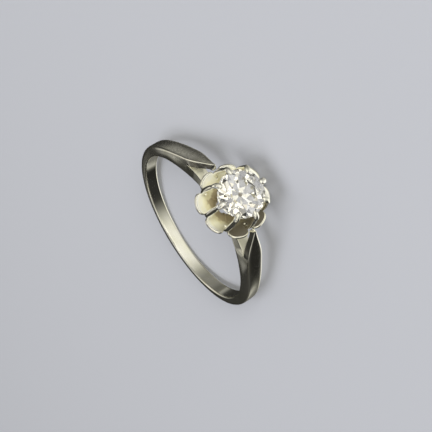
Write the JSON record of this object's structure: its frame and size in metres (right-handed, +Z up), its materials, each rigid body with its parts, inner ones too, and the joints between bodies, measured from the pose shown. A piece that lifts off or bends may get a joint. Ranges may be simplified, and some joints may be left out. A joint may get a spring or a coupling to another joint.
{
  "type": "solitaire ring",
  "caption": "Solitaire finger ring: a round faceted stone in claws over a flower-shaped collet, on a slim shank whose shoulders split into pointed leaves; it lies on its side.",
  "frame": {"origin": "centre of the finger hole, half way along its wall", "axes": "+X across the hoop, +Y from the finger hole towards the stone, +Z up from the surface that the ring lies on"},
  "size_m": [0.0192, 0.0249, 0.0073],
  "materials": {
    "white_gold": "polished, finely scratched by wear",
    "diamond": "clear, polished facets"
  },
  "bodies": {
    "root": {"ring_mount": "white_gold", "stone": "diamond"}
  },
  "joints": []
}
